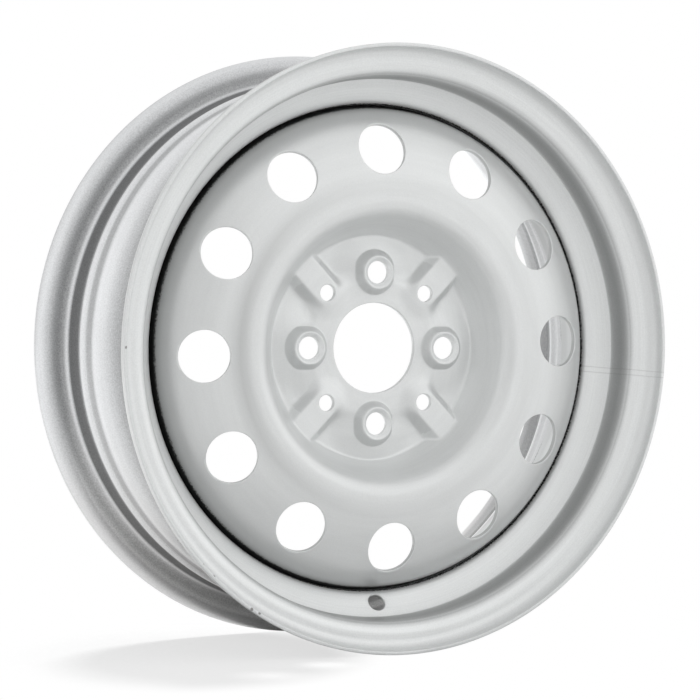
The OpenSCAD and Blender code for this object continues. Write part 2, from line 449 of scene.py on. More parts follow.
def rimFinish():
    paint, tree, shader, where, spray = paintedSteel("rimSilver", silver["colour"], silver["roughness"])
    radius, outboard, turn = useGroup(tree, "round", Place=where).outputs
    marks = useGroup(tree, "marks", Radius=radius, Outboard=outboard, Turn=turn)
    faint = mathOf(tree, "MULTIPLY_ADD", marks.outputs["Streak"], *rimCoat["streak"])
    shade = tinted(tree, spray.outputs["Colour"], faint)
    # the tone on the mesh is painted shade and painted highlight
    tone = toneOf(tree)
    barrel = rangeOf(tree, outboard, *inMm(rimCoat["barrelEnd"]), 1.0, 0.0)
    grain = mathOf(tree, "SUBTRACT", noiseOf(tree, where, *rimCoat["grain"]), 0.5)
    thin = mathOf(tree, "MULTIPLY", mathOf(tree, "MULTIPLY_ADD", tone, *rimCoat["grainByTone"]),
                  mathOf(tree, "MULTIPLY_ADD", barrel, *rimCoat["grainByPlace"]))
    grainy = mathOf(tree, "MULTIPLY", tone, mathOf(tree, "MULTIPLY_ADD", grain, thin, 1.0))
    # painted cool tint on the barrel
    shade = tinted(tree, tinted(tree, shade, grainy), rimCoat["barrelShadeTint"], barrel)
    # darker and warmer towards the bottom of the barrel
    apart = tree.nodes.new("ShaderNodeSeparateXYZ")
    tree.links.new(where, apart.inputs[0])
    height = apart.outputs["Z"]
    lowTinted = rangeOf(tree, height, *inMm(rimCoat["lowTintHeight"]), rimCoat["lowTintShare"], 0.0)
    shade = tinted(tree, shade, rimCoat["lowTint"], mathOf(tree, "MULTIPLY", lowTinted, barrel))
    # butt weld across the band, ground flush: two faint lines
    side = vectorOf(tree, "DOT_PRODUCT", where, onWheel(weldLine["clock"] + 90.0, 1 / mm, 0.0))
    half = mathOf(tree, "SUBTRACT", mathOf(tree, "ABSOLUTE", side), weldLine["half"] * mm)
    line = rangeOf(tree, mathOf(tree, "ABSOLUTE", half), *inMm(weldLine["edge"]), weldLine["depth"], 0.0)
    facing = rangeOf(tree, mathOf(tree, "SINE", turn), *weldLine["facing"])
    shade = mixColour(tree, mathOf(tree, "MULTIPLY", line, facing), shade, silver["bareSteel"])
    # scratches of tyre tools on the ledge
    rub = useGroup(tree, "nick", Place=where, Centre=onWheel(*rubbed["place"]), Size=rubbed["size"] * mm)
    tool = useGroup(tree, "marks", Radius=radius, Outboard=outboard, Turn=turn, Fineness=rubbed["fineness"])
    lines = rangeOf(tree, tool.outputs["Streak"], *rubbed["lines"], 0.0, rubbed["depth"])
    scratch = mathOf(tree, "MULTIPLY", lines, rub.outputs["Mask"])
    shade = mixColour(tree, scratch, shade, silver["bareSteel"])
    # painted light of the floor's bounce, low on the tyre side of the rear flange
    low = mathOf(tree, "MULTIPLY", rangeOf(tree, height, *inMm(paintedBounceLight["height"]), 1.0, 0.0),
                 rangeOf(tree, outboard, *inMm(paintedBounceLight["outboard"]), 1.0, 0.0))
    low = mathOf(tree, "MULTIPLY", low, rangeOf(tree, tone, *paintedBounceLight["tone"], 1.0, 0.0))
    shade = tinted(tree, shade, paintedBounceLight["gain"], low)
    # painted shade in the joint with the disc, nearly black
    squares = []
    for value, middle in zip((radius, outboard), rimCoat["jointShadePlace"]):
        gap = mathOf(tree, "SUBTRACT", value, middle * mm)
        squares.append(mathOf(tree, "MULTIPLY", gap, gap))
    away = mathOf(tree, "SQRT", mathOf(tree, "ADD", *squares))
    away = mathOf(tree, "MULTIPLY_ADD", grain, rimCoat["jointShadeRagged"] * mm, away)
    jointShaded = rangeOf(tree, away, *inMm(rimCoat["jointShadeReach"]), 1.0, 0.0)
    shade = mixColour(tree, jointShaded, shade, silver["jointShade"])
    for clock, nickR, nickY, size in lipNicks:
        nick = useGroup(tree, "nick", Place=where, Centre=onWheel(clock, nickR, nickY), Size=size * mm)
        bare = mathOf(tree, "MULTIPLY", nick.outputs["Mask"], rimCoat["nickShare"])
        shade = mixColour(tree, bare, shade, silver["bareSteel"])
    tree.links.new(shade, shader.inputs["Base Color"])
    return paint


# coat of the disc, in mm
discCoat = {
    "fineness": 260.0,
    "streak": (0.10, 0.95),
    "grain": (900.0, 1.0, 0.5),
    "jointShadeRagged": 1.6,
    "jointShadeRadius": (154.6, 155.7),
    "jointShadeOutboard": (14.0, 20.0),
}


def discFinish():
    paint, tree, shader, where, spray = paintedSteel("discSilver", silver["colour"], silver["roughness"])
    radius, outboard, turn = useGroup(tree, "round", Place=where).outputs
    marks = useGroup(tree, "marks", Radius=radius, Outboard=outboard, Turn=turn,
                     Fineness=discCoat["fineness"])
    faint = mathOf(tree, "MULTIPLY_ADD", marks.outputs["Streak"], *discCoat["streak"])
    # the tone on the mesh is painted shade and painted highlight
    shade = tinted(tree, tinted(tree, spray.outputs["Colour"], faint), toneOf(tree))
    # painted shade in the joint with the rim, nearly black
    grain = mathOf(tree, "SUBTRACT", noiseOf(tree, where, *discCoat["grain"]), 0.5)
    ragged = mathOf(tree, "MULTIPLY_ADD", grain, discCoat["jointShadeRagged"] * mm, radius)
    jointShaded = mathOf(tree, "MULTIPLY", rangeOf(tree, ragged, *inMm(discCoat["jointShadeRadius"])),
                   rangeOf(tree, outboard, *inMm(discCoat["jointShadeOutboard"])))
    tree.links.new(mixColour(tree, jointShaded, shade, silver["jointShade"]), shader.inputs["Base Color"])
    return paint


weldCoat = {
    "colour": (0.42, 0.43, 0.43, 1),
    "roughness": 0.5,
    "burnt": (160.0, 3.0, 0.6),
    "burntEdge": (0.5, 0.75),
    "burntShare": 0.55,
}


def weldFinish():
    paint, tree, shader, where, spray = paintedSteel("weldSilver", weldCoat["colour"], weldCoat["roughness"])
    burnt = rangeOf(tree, noiseOf(tree, where, *weldCoat["burnt"]), *weldCoat["burntEdge"], 0.0,
                    weldCoat["burntShare"])
    shade = mixColour(tree, burnt, spray.outputs["Colour"], silver["bareSteel"])
    tree.links.new(shade, shader.inputs["Base Color"])
    return paint


finishes = {"rim": rimFinish(), "disc": discFinish(), "weld": weldFinish()}
print("paint made:", len(bpy.data.node_groups), "groups")


# sections are the middle line of the sheet: radius, distance outboard, bend radius, in mm
def sectionLine(path, flatStep, turnStep):
    corners = [np.array(p[:2], float) for p in path]
    rows = []

    def addRun(a, b):
        way = b - a
        reach = np.linalg.norm(way)
        if reach < 1e-6:
            return
        normal = np.array([-way[1], way[0]]) / reach
        count = max(1, math.ceil(reach / flatStep))
        for k in range(count):
            rows.append((*(a + way * k / count), *normal))

    here = corners[0]
    for i in range(1, len(path) - 1):
        along = corners[i] - corners[i - 1]
        along = along / np.linalg.norm(along)
        onward = corners[i + 1] - corners[i]
        onward = onward / np.linalg.norm(onward)
        turn = math.atan2(along[0] * onward[1] - along[1] * onward[0], along @ onward)
        bend = path[i][2]
        cut = bend * math.tan(abs(turn) / 2)
        side = math.copysign(1, turn)
        start = corners[i] - along * cut
        addRun(here, start)
        normal = np.array([-along[1], along[0]])
        centre = start + normal * bend * side
        count = max(1, math.ceil(abs(turn) / turnStep))
        for k in range(count):
            c, s = math.cos(turn * k / count), math.sin(turn * k / count)
            n = np.array([normal[0] * c - normal[1] * s, normal[0] * s + normal[1] * c])
            rows.append((*(centre - n * bend * side), *n))
        here = corners[i] + onward * cut
    addRun(here, corners[-1])
    way = corners[-1] - corners[-2]
    way = way / np.linalg.norm(way)
    rows.append((*corners[-1], -way[1], way[0]))
    return np.array(rows)


def roundedEdge(point, normal, way, half, rounding, steps=4):
    # points across a cut edge of the sheet, from its +normal face to its -normal face
    rows = []
    base = point - way * rounding
    for sign in (1, -1):
        arc = []
        for k in range(steps + 1):
            a = 0.5 * math.pi * k / steps
            arc.append(base + sign * normal * (half - rounding + rounding * math.cos(a))
                       + way * rounding * math.sin(a))
        rows += arc if sign > 0 else arc[::-1]
    return rows


def sheetLoop(line, half, rounding):
    # closed outline of a sheet: one face, a rounded edge, the other face, a rounded edge
    first, last = line[0], line[-1]
    startWay = np.array([-first[3], first[2]])
    endWay = np.array([last[3], -last[2]])
    loop = [row[:2] + row[2:] * half for row in line[1:-1]]
    loop += roundedEdge(last[:2], last[2:], endWay, half, rounding)
    loop += [row[:2] - row[2:] * half for row in line[1:-1][::-1]]
    loop += roundedEdge(first[:2], -first[2:], startWay, half, rounding)
    return np.array(loop)


# geometry trees
def closeTree(tree, shape, finish, put):
    smooth = tree.nodes.new("GeometryNodeSetShadeSmooth")
    real = tree.nodes.new("GeometryNodeRealizeInstances")
    coat = tree.nodes.new("GeometryNodeSetMaterial")
    tree.links.new(shape, real.inputs[0])
    tree.links.new(real.outputs[0], smooth.inputs[0])
    tree.links.new(smooth.outputs[0], coat.inputs["Geometry"])
    tree.links.new(finish, coat.inputs["Material"])
    tree.links.new(coat.outputs[0], put.inputs[0])


def sweptGrid(tree, given, rows, columns, startTurn, fullTurn):
    # sweeps the section's points round the axle; rows and columns count the grid's vertices
    grid = tree.nodes.new("GeometryNodeMeshGrid")
    rowCount = mathOf(tree, "ADD", rows, 1.0)
    tree.links.new(mathOf(tree, "ADD", columns, 1.0), grid.inputs["Vertices X"])
    tree.links.new(rowCount, grid.inputs["Vertices Y"])
    index = tree.nodes.new("GeometryNodeInputIndex").outputs[0]
    column = mathOf(tree, "FLOOR", mathOf(tree, "DIVIDE", mathOf(tree, "ADD", index, 0.5), rowCount))
    row = mathOf(tree, "SUBTRACT", index, mathOf(tree, "MULTIPLY", column, rowCount))
    share = mathOf(tree, "DIVIDE", column, columns)
    turn = mathOf(tree, "MULTIPLY_ADD", share, fullTurn, startTurn)
    pick = tree.nodes.new("GeometryNodeSampleIndex")
    pick.data_type = "FLOAT_VECTOR"
    pick.domain = "POINT"
    tree.links.new(given.outputs["Section"], pick.inputs["Geometry"])
    tree.links.new(tree.nodes.new("GeometryNodeInputPosition").outputs[0], pick.inputs["Value"])
    tree.links.new(mathOf(tree, "MODULO", row, rows), pick.inputs["Index"])
    part = tree.nodes.new("ShaderNodeSeparateXYZ")
    tree.links.new(pick.outputs[0], part.inputs[0])
    tone = tree.nodes.new("GeometryNodeStoreNamedAttribute")
    tone.data_type = "FLOAT"
    tone.domain = "POINT"
    tone.inputs["Name"].default_value = "tone"
    tree.links.new(grid.outputs["Mesh"], tone.inputs["Geometry"])
    tree.links.new(part.outputs[2], tone.inputs["Value"])
    return tone.outputs[0], part.outputs[0], part.outputs[1], turn, share


def placeGrid(tree, mesh, radius, outboard, turn):
    spot = tree.nodes.new("ShaderNodeCombineXYZ")
    tree.links.new(mathOf(tree, "MULTIPLY", radius, mathOf(tree, "SINE", turn)), spot.inputs[0])
    tree.links.new(mathOf(tree, "MULTIPLY", outboard, -1.0), spot.inputs[1])
    tree.links.new(mathOf(tree, "MULTIPLY", radius, mathOf(tree, "COSINE", turn)), spot.inputs[2])
    move = tree.nodes.new("GeometryNodeSetPosition")
    tree.links.new(mesh, move.inputs["Geometry"])
    tree.links.new(spot.outputs[0], move.inputs["Position"])
    weld = tree.nodes.new("GeometryNodeMergeByDistance")
    tree.links.new(move.outputs[0], weld.inputs["Geometry"])
    weld.inputs["Distance"].default_value = 2 * joinGap
    return weld.outputs[0]


def sectionMesh(name, points, tones):
    # a section point's third number is the tone of the paint there: painted shade below 1, painted highlight
    # above
    mesh = bpy.data.meshes.new(name)
    mesh.from_pydata([(r * mm, y * mm, tone) for (r, y), tone in zip(points, tones)], [], [])
    return mesh


def settle(mesh):
    # welds doubles and turns every face of the closed shell outwards
    work = bmesh.new()
    work.from_mesh(mesh)
    bmesh.ops.remove_doubles(work, verts=work.verts, dist=joinGap)
    bmesh.ops.recalc_face_normals(work, faces=work.faces)
    openEdges = sum(1 for edge in work.edges if not edge.is_manifold)
    work.to_mesh(mesh)
    work.free()
    mesh.update()
    print("  ", mesh.name, len(mesh.polygons), "faces,", openEdges, "open edges")


def runTree(tree, section, name, values, cutter=None):
    carrier = bpy.data.objects.new(name, section)
    scene.collection.objects.link(carrier)
    modifier = carrier.modifiers.new("shape", "NODES")
    modifier.node_group = tree
    sockets = {item.name: item.identifier for item in tree.interface.items_tree if item.in_out == "INPUT"}
    for label, value in values.items():
        modifier[sockets[label]] = value
    if cutter:
        cut = carrier.modifiers.new("hole", "BOOLEAN")
        cut.operation = "DIFFERENCE"
        cut.solver = "EXACT"
        cut.object = cutter
    shown = carrier.evaluated_get(bpy.context.evaluated_depsgraph_get())
    made = bpy.data.meshes.new_from_object(shown)
    made.name = name
    made.materials.clear()
    made.materials.append(values["Finish"])
    made.polygons.foreach_set("material_index", [0] * len(made.polygons))
    carrier.modifiers.clear()
    carrier.data = made
    bpy.data.meshes.remove(section)
    return carrier


# rim: one rolled band, drawn as the sheet's middle line and turned round the axle
rimBand = {
    "sheet": 2.3,
    "edgeRounding": 0.5,
    "segments": 312,
    "flatStep": 2.6,
    "turnStep": 7.5,
    "sharpAngle": 32.0,
    "path": [
        (193.55, 75.1, 0), (193.55, 64.65, 8.35), (176.25, 64.65, 7.65), (174.395, 43.45, 2.5),
        (175.595, 40.45, 2.5), (158.65, 28.6, 6), (158.65, -2, 18), (172.65, -24.5, 7),
        (173.25, -36.45, 2.5), (175.595, -40.45, 2.5), (174.395, -43.45, 2.5), (176.25, -64.65, 7.65),
        (193.55, -64.65, 8.35), (193.55, -75.1, 0),
    ],
    "valveRadius": 5.7,
    "valveChamfer": 0.5,
    "valveFlare": 1.2,
    "valveSides": 48,
    "valveClock": 179.4,
    "valvePlace": (165.77, 33.58),     # radius and outboard of the hole's middle
    "valveWall": (16.945, 11.85),      # way of the sheet there
}

# painted shade and painted highlights of the rim, by the way along the section from the front lip, in mm
rimShadeTone = {
    "edge": 0.97,
    "hole": 1.15,
    "none": 0.05,    # a point with less has no tone
    "tyreFace": [
        (0, 0.75), (2, 0.85), (4, 1.03), (11, 0.95), (14, 0.7), (18, 0.55), (21, 0.6), (23, 1.0),
        (24.5, 1.1), (26, 0.85), (28, 0.5), (39, 0.46), (41.5, 0.7), (43.5, 1.1), (46, 1.15), (50, 0.95),
        (62, 0.8), (80, 0.72), (92, 0.55), (101, 0.58), (106, 0.7), (111, 0.9), (116, 1.12), (122, 1.2),
        (124.5, 0.95), (126.5, 0.68), (132.5, 0.68), (135, 1.0), (138, 1.14), (141, 1.02), (143, 0.5),
        (145, 0.23), (156, 0.25), (157.8, 0.72), (159.3, 1.12), (160.8, 0.93), (162.5, 0.54), (166, 0.48),
        (170, 0.64), (173, 0.88), (177, 1.08), (181, 1.05), (183, 0.85), (185, 0.75),
    ],
    "innerFace": [
        (0, 0.99), (3, 0.96), (6, 0.96), (9, 0.99), (12, 1.04), (18, 1.06), (21, 1.1), (23.6, 1.0),
        (24.3, 0.62), (25.2, 0.92), (27, 0.72), (34, 0.56), (41, 0.68), (43.5, 0.9), (47, 1.08), (50, 1.12),
        (55, 1.2), (60, 1.3), (64, 1.32), (66, 1.1), (68, 0.9), (90, 0.95), (104, 0.95), (116, 1.0),
        (120, 1.1), (122, 1.35), (124, 1.1), (127, 0.9), (132, 0.9), (134.5, 1.42), (136.5, 1.4),
        (138.5, 0.8), (141, 0.52), (145, 0.48), (149, 0.5), (153, 0.66), (157, 0.74), (160, 0.85),
        (170, 0.9), (185, 1.0),
    ],
}

# painted shade inside the barrel: gain of the inner face's tone, by height on the ledge and by side on the
# rear seat; outboard in mm
barrelShade = {
    "ledge": {"outboard": (-38.5, -37.0, 10.0, 30.0), "middle": 0.97, "slope": -0.6, "limits": (0.67, 1.4)},
    "seat": {"outboard": (-64.0, -60.0, -43.0, -41.5), "middle": 4.46, "slope": -3.6, "limits": (0.86, 2.3)},
}


def rimShadeTones(line, loopCount):
    steps = np.linalg.norm(np.diff(line[:, :2], axis=0), axis=1)
    along = np.concatenate([[0], np.cumsum(steps)])[1:-1]
    edge = [rimShadeTone["edge"]] * ((loopCount - 2 * len(along)) // 2)
    tyre = list(np.interp(along, *zip(*rimShadeTone["tyreFace"])))
    inner = list(np.interp(along, *zip(*rimShadeTone["innerFace"])))
    return tyre + edge + inner[::-1] + edge


def revolveTree():
    tree, given, put = newTree(
        "GeometryNodeTree", "rollRim",
        [("Section", "NodeSocketGeometry", None), ("Section Points", "NodeSocketInt", 100),
         ("Segments", "NodeSocketInt", 360), ("Finish", "NodeSocketMaterial", None)],
        [("Piece", "NodeSocketGeometry")])
    mesh, radius, outboard, turn, _ = sweptGrid(tree, given, given.outputs["Section Points"],
                                                given.outputs["Segments"], 0.0, 2 * math.pi)
    closeTree(tree, placeGrid(tree, mesh, radius, outboard, turn), given.outputs["Finish"], put)
    return tree


def valveCutter():
    # plug with flared ends, so the hole gets a small chamfer on both faces
    radius, chamfer, half = rimBand["valveRadius"], rimBand["valveChamfer"], rimBand["sheet"] / 2
    flare = rimBand["valveFlare"]
    wide = radius + chamfer + flare
    rings = [(-half - flare, wide), (-half + chamfer, radius), (half - chamfer, radius), (half + flare, wide)]
    sides = rimBand["valveSides"]
    r, y = rimBand["valvePlace"]
    wallR, wallY = rimBand["valveWall"]
    reach = math.hypot(wallR, wallY)
    clock = math.radians(rimBand["valveClock"])
    outward = Vector((math.sin(clock), 0, math.cos(clock)))
    front = Vector((0, -1, 0))
    wall = outward * (wallR / reach) + front * (wallY / reach)
    side = outward.cross(front)
    axis = side.cross(wall).normalized()
    centre = outward * (r * mm) + front * (y * mm)
    work = bmesh.new()
    loops = []
    for along, size in rings:
        loops.append([work.verts.new(centre + axis * (along * mm)
                                     + (wall * math.cos(a) + side * math.sin(a)) * (size * mm))
                      for a in np.linspace(0, 2 * math.pi, sides, endpoint=False)])
    for low, high in zip(loops, loops[1:]):
        for k in range(sides):
            work.faces.new((low[k], low[(k + 1) % sides], high[(k + 1) % sides], high[k]))
    work.faces.new(loops[0][::-1])
    work.faces.new(loops[-1])
    bmesh.ops.recalc_face_normals(work, faces=work.faces)
    mesh = bpy.data.meshes.new("valvePlug")
    work.to_mesh(mesh)
    work.free()
    plug = bpy.data.objects.new("valvePlug", mesh)
    scene.collection.objects.link(plug)
    return plug


def pointsOf(mesh):
    place = np.zeros(len(mesh.vertices) * 3)
    normal = np.zeros(len(mesh.vertices) * 3)
    mesh.vertices.foreach_get("co", place)
    mesh.vertex_normals.foreach_get("vector", normal)
    return place.reshape(-1, 3), normal.reshape(-1, 3)


def shadeGain(part, way):
    shade = barrelShade[part]
    return np.clip(shade["middle"] + shade["slope"] * way, *shade["limits"])


def shadeBarrel(mesh, values):
    # painted shade inside the barrel: the ledge is darker at the top, and the rear seat is darkest at the
    # sides
    place, normal = pointsOf(mesh)
    radius = np.hypot(place[:, 0], place[:, 2])
    inner = place[:, 0] * normal[:, 0] + place[:, 2] * normal[:, 2] < 0
    gain = np.ones(len(values))
    for part, way in (("ledge", place[:, 2] / radius), ("seat", place[:, 0] / radius)):
        share = np.interp(-place[:, 1] / mm, barrelShade[part]["outboard"], (0, 1, 1, 0))
        gain += share * (shadeGain(part, way) - 1)
    values[inner] *= gain[inner]


def makeRim():
    line = sectionLine(rimBand["path"], rimBand["flatStep"], math.radians(rimBand["turnStep"]))
    loop = sheetLoop(line, rimBand["sheet"] / 2, rimBand["edgeRounding"])
    plug = valveCutter()
    section = sectionMesh("rimSection", loop, rimShadeTones(line, len(loop)))
    rim = runTree(revolveTree(), section, "rim_band", {
        "Section Points": len(loop), "Segments": rimBand["segments"], "Finish": finishes["rim"]}, plug)
    plugMesh = plug.data
    bpy.data.objects.remove(plug)
    bpy.data.meshes.remove(plugMesh)
    settle(rim.data)
    rim.data.set_sharp_from_angle(angle=math.radians(rimBand["sharpAngle"]))
    # the cut leaves the hole's new points without a tone
    tone = rim.data.attributes["tone"].data
    values = np.zeros(len(tone))
    tone.foreach_get("value", values)
    values[values < rimShadeTone["none"]] = rimShadeTone["hole"]
    shadeBarrel(rim.data, values)
    tone.foreach_set("value", values)
    return rim


# disc: one pressed sheet, with its holes pierced through
disc = {
    "sheet": 3.2,
    "path": [
        (0, 28.6, 0), (45, 28.6, 15), (58.5, 24.6, 12), (73.1, 24.6, 4.6), (89.3, 51.4, 10.4),
        (117.938, 51.4, 120.4), (155.9, 36.829, 24), (155.9, 8, 0),
    ],
    "boreRadius": 29.3,
    "edgeRounding": 0.45,
    "boltCircle": 98.0,
    "boltHole": 14.6,
    "seatSlope": 42.0,
    "seatDepth": 2.4,
    "seatCorner": 1.6,
    "bossWidth": 21.6,
    "bossTop": 36.6,
    "bossBack": 4.8,
    "bossSlope": 60.0,
    "bossSides": 67.0,                 # straight flanks beside the bolt, steeper than the cone
    "bossCorner": 2.0,
    "bossFillet": 1.0,
    "bossBlend": 1.0,
    "bossFoot": (16.0, 29.4, 13.0),    # the plate stays high round a boss: radius, level, slope beyond
    "crestRound": 2.4,
    "pilotCircle": 100.2,
    "pilotHole": 10.6,
    "padWidth": 17.0,
    "padTop": 33.2,
    "padSlope": 54.0,
    "padFillet": (3.8, 2.2),           # soft beside the hole, crisp at the hat's wall
    "padRound": (3.4, 1.4),
    "padFade": (-9.0, 7.0),
    "padRamp": 34.0,                   # the inner end runs out into the plate
    "padEnd": (-30.0, -50.0),          # further in than this from the hole there is none, so it lies deep
    "hubReach": 88.0,                  # bosses and pads lie inside this radius
    "hubLevel": 30.0,
    "ventCount": 12,
    "ventWidth": 33.2,
    "ventRadius": 128.2,
    "ventTurn": -2.2,
    "crownStart": 95.17,
    "crownBend": 120.4,
}

# how finely the disc is meshed, in mm and degrees
discMesh = {
    "segments": 288,
    "flatStep": 0.4,
    "turnStep": 1.0,
    "seamSlope": 48.0,                 # steeper than this the shoulder is swept, not pressed
    "seamRadius": 140.0,
    "ringStart": 0.35,
    "ringEnd": 0.7,
    "ringStep": (0.9, 2.2),            # inside and outside the hat's edge
    "hatEdge": 97.0,
    "backFine": 1.7,                   # the back has wider steps
    "sides": {"bolt": 64, "pilot": 48, "vent": 96},
    "rings": {"bolt": (0.3, 0.9), "pilot": (0.3, 0.9), "vent": (0.3, 0.9, 1.9)},
    "ringClear": 0.45,
    "bossRings": (0.3, 8.3, 0.45),     # close rings over a boss: start, end, step
    "bossSides": 132,
    "padRows": (0.0, 24.0, 0.8),       # close rows over a pad's flanks, out from its hole and across
    "padColumns": (7.5, 14.0, 0.5),
    "padClear": (0.4, 0.3),
    "holeClear": 0.03,
    "boreClear": 0.01,
    "merge": 1e-5,
    "shoulderTurn": 3.5,
    "shoulderStep": 3.5,
}
discLine = sectionLine(disc["path"], discMesh["flatStep"], math.radians(discMesh["turnStep"]))


def eased(share):
    return share * share * (3 - 2 * share)


def softMax(a, b, k):
    gap = np.maximum(k - np.abs(a - b), 0) / k
    return np.maximum(a, b) + gap * gap * k / 4


def softMin(a, b, k):
    return -softMax(-a, -b, k)


def discFace(side):
    return discLine[:, :2] + side * disc["sheet"] / 2 * discLine[:, 2:]


# the faces are heights over the plan as far out as the shoulder is still shallow
seam = int(np.argmax((discLine[:, 2] > math.sin(math.radians(discMesh["seamSlope"])))
                     & (discLine[:, 0] > discMesh["seamRadius"])))


def fromHole(x, z, turn, circle):
    clock = math.radians(turn)
    along = x * math.sin(clock) + z * math.cos(clock) - circle / 2
    return along, x * math.cos(clock) - z * math.sin(clock)


def bossHeight(x, z, turn, side):
    along, across = fromHole(x, z, turn, disc["boltCircle"])
    away = np.hypot(along, across)
    slope = math.radians(disc["bossSlope"])
    half = disc["bossWidth"] / 2
    top = np.full_like(away, disc["bossTop"])
    if side < 0:
        half -= disc["sheet"] * (1 / math.sin(slope) - 1 / math.tan(slope))
        top -= disc["bossBack"]
    boss = softMin(top + (half - away) * math.tan(slope), top, disc["crestRound"])
    if side > 0:
        flank = top + (half - np.abs(across)) * math.tan(math.radians(disc["bossSides"]))
        rise = math.tan(math.radians(disc["seatSlope"]))
        seat = top - disc["seatDepth"] + (away - disc["boltHole"] / 2) * rise
        boss = softMin(softMin(boss, flank, disc["bossCorner"]), seat, disc["seatCorner"])
    wide, level, fall = disc["bossFoot"]
    foot = level - np.maximum(away - wide, 0) * math.tan(math.radians(fall))
    if side < 0:
        foot -= disc["sheet"]
    return softMax(foot, boss, disc["bossFillet"])


def padHeight(x, z, turn, side):
    along, across = fromHole(x, z, turn, disc["pilotCircle"])
    slope = math.radians(disc["padSlope"])
    half = disc["padWidth"] / 2
    top = np.full_like(along, disc["padTop"])
    if side < 0:
        half -= disc["sheet"] * (1 / math.sin(slope) - 1 / math.tan(slope))
        top -= disc["sheet"]
    fadeStart, fadeEnd = disc["padFade"]
    crisp = eased(np.clip((along - fadeStart) / (fadeEnd - fadeStart), 0, 1))
    rise = np.interp(crisp, (0, 1), np.tan(np.radians([disc["padRamp"], disc["padSlope"]])))
    away = np.hypot(np.minimum(along, 0), across)
    pad = softMin(top + (half - away) * rise, top, np.interp(crisp, (0, 1), disc["padRound"]))
    end, deep = disc["padEnd"]
    return np.where(along > end, pad, deep), np.interp(crisp, (0, 1), disc["padFillet"])


def discHeight(x, z, side):
    face = discFace(side)[:seam + 1]
    height = np.interp(np.hypot(x, z), face[:, 0], face[:, 1])
    hub = np.hypot(x, z) < disc["hubReach"]
    for k in range(4):
        boss = bossHeight(x, z, 90 * k, side)
        height = np.where(hub, softMax(height, boss, disc["bossBlend"]), height)
        pad, fillet = padHeight(x, z, 90 * k + 45, side)
        height = np.where(hub, softMax(height, pad, fillet), height)
    return height


def discHoles():
    holes = []
    up = np.array([0.0, 1.0, 0.0])

    def addHole(kind, turn, radius, level, slope, width):
        clock = math.radians(turn)
        out = np.array([math.sin(clock), 0, math.cos(clock)])
        holes.append({
            "kind": kind, "centre": out * radius + up * level,
            "axis": out * math.sin(slope) + up * math.cos(slope),
            "across": np.array([math.cos(clock), 0, -math.sin(clock)]),
            "out": out * math.cos(slope) - up * math.sin(slope),
            "radius": width / 2, "count": discMesh["sides"][kind]})

    for k in range(4):
        addHole("bolt", 90 * k, disc["boltCircle"] / 2, disc["hubLevel"], 0.0, disc["boltHole"])
        addHole("pilot", 90 * k + 45, disc["pilotCircle"] / 2, disc["hubLevel"], 0.0, disc["pilotHole"])
    slope = math.asin((disc["ventRadius"] - disc["crownStart"]) / disc["crownBend"])
    level = disc["path"][4][1] - disc["crownBend"] * (1 - math.cos(slope))
    for k in range(disc["ventCount"]):
        turn = disc["ventTurn"] + 360 / disc["ventCount"] * k
        addHole("vent", turn, disc["ventRadius"], level, slope, disc["ventWidth"])
    return holes


def holeRing(hole, radius, side):
    # where a round tool of that radius meets one face of the sheet
    a = np.linspace(0, 2 * math.pi, hole["count"], endpoint=False)
    flat = hole["centre"] + radius * (np.outer(np.cos(a), hole["across"]) + np.outer(np.sin(a), hole["out"]))
    reach = np.zeros(len(a))
    for _ in range(12):
        p = flat + np.outer(reach, hole["axis"])
        reach -= (p[:, 1] - discHeight(p[:, 0], p[:, 2], side)) * hole["axis"][1]
    return flat + np.outer(reach, hole["axis"])


def ringRadii(side, fine):
    face = discFace(side)[:seam + 1]
    start = disc["boreRadius"] + disc["edgeRounding"] + discMesh["ringStart"]
    inside, outside = discMesh["ringStep"]
    radii, gone = [start], 0.0
    last = None
    for r, y in face:
        if r <= start:
            last = (r, y)
            continue
        gone += math.hypot(r - last[0], y - last[1])
        last = (r, y)
        step = (inside if r < discMesh["hatEdge"] else outside) * fine
        if gone >= step:
            radii.append(r)
            gone = 0.0
    outer = face[-1][0]
    return [r for r in radii if r < outer - discMesh["ringEnd"]], outer


